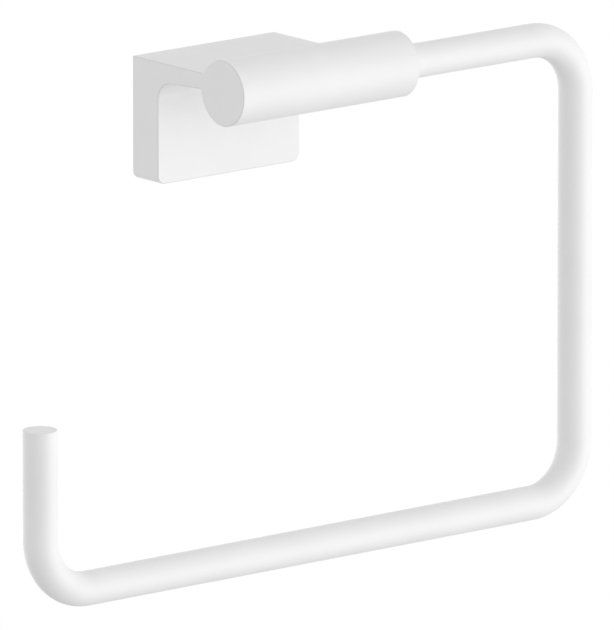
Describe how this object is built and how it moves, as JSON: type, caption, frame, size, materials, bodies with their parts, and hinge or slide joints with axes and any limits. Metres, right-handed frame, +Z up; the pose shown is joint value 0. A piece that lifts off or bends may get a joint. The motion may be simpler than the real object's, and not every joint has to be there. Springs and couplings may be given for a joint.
{
  "type": "towel holder",
  "caption": "White wall-mounted towel ring: a bent round rod, open at its upper left, held by a cast bracket with a rectangular base, a flat arm and a round barrel.",
  "frame": {"origin": "on the wall, midway between the two wall screws, at the middle of the bracket's base", "axes": "+Y into the wall, so the holder stands out towards -Y; +X to the right along the wall; +Z up"},
  "size_m": [0.2509, 0.06, 0.182],
  "materials": {
    "white_coat": "satin",
    "plate_metal": "satin",
    "screw_steel": "satin"
  },
  "bodies": {
    "root": {"wall_bracket": "white_coat", "towel_ring": "white_coat", "wall_plate": "plate_metal", "plate_grub_screw": "screw_steel", "rod_grub_screw": "screw_steel"}
  },
  "joints": []
}
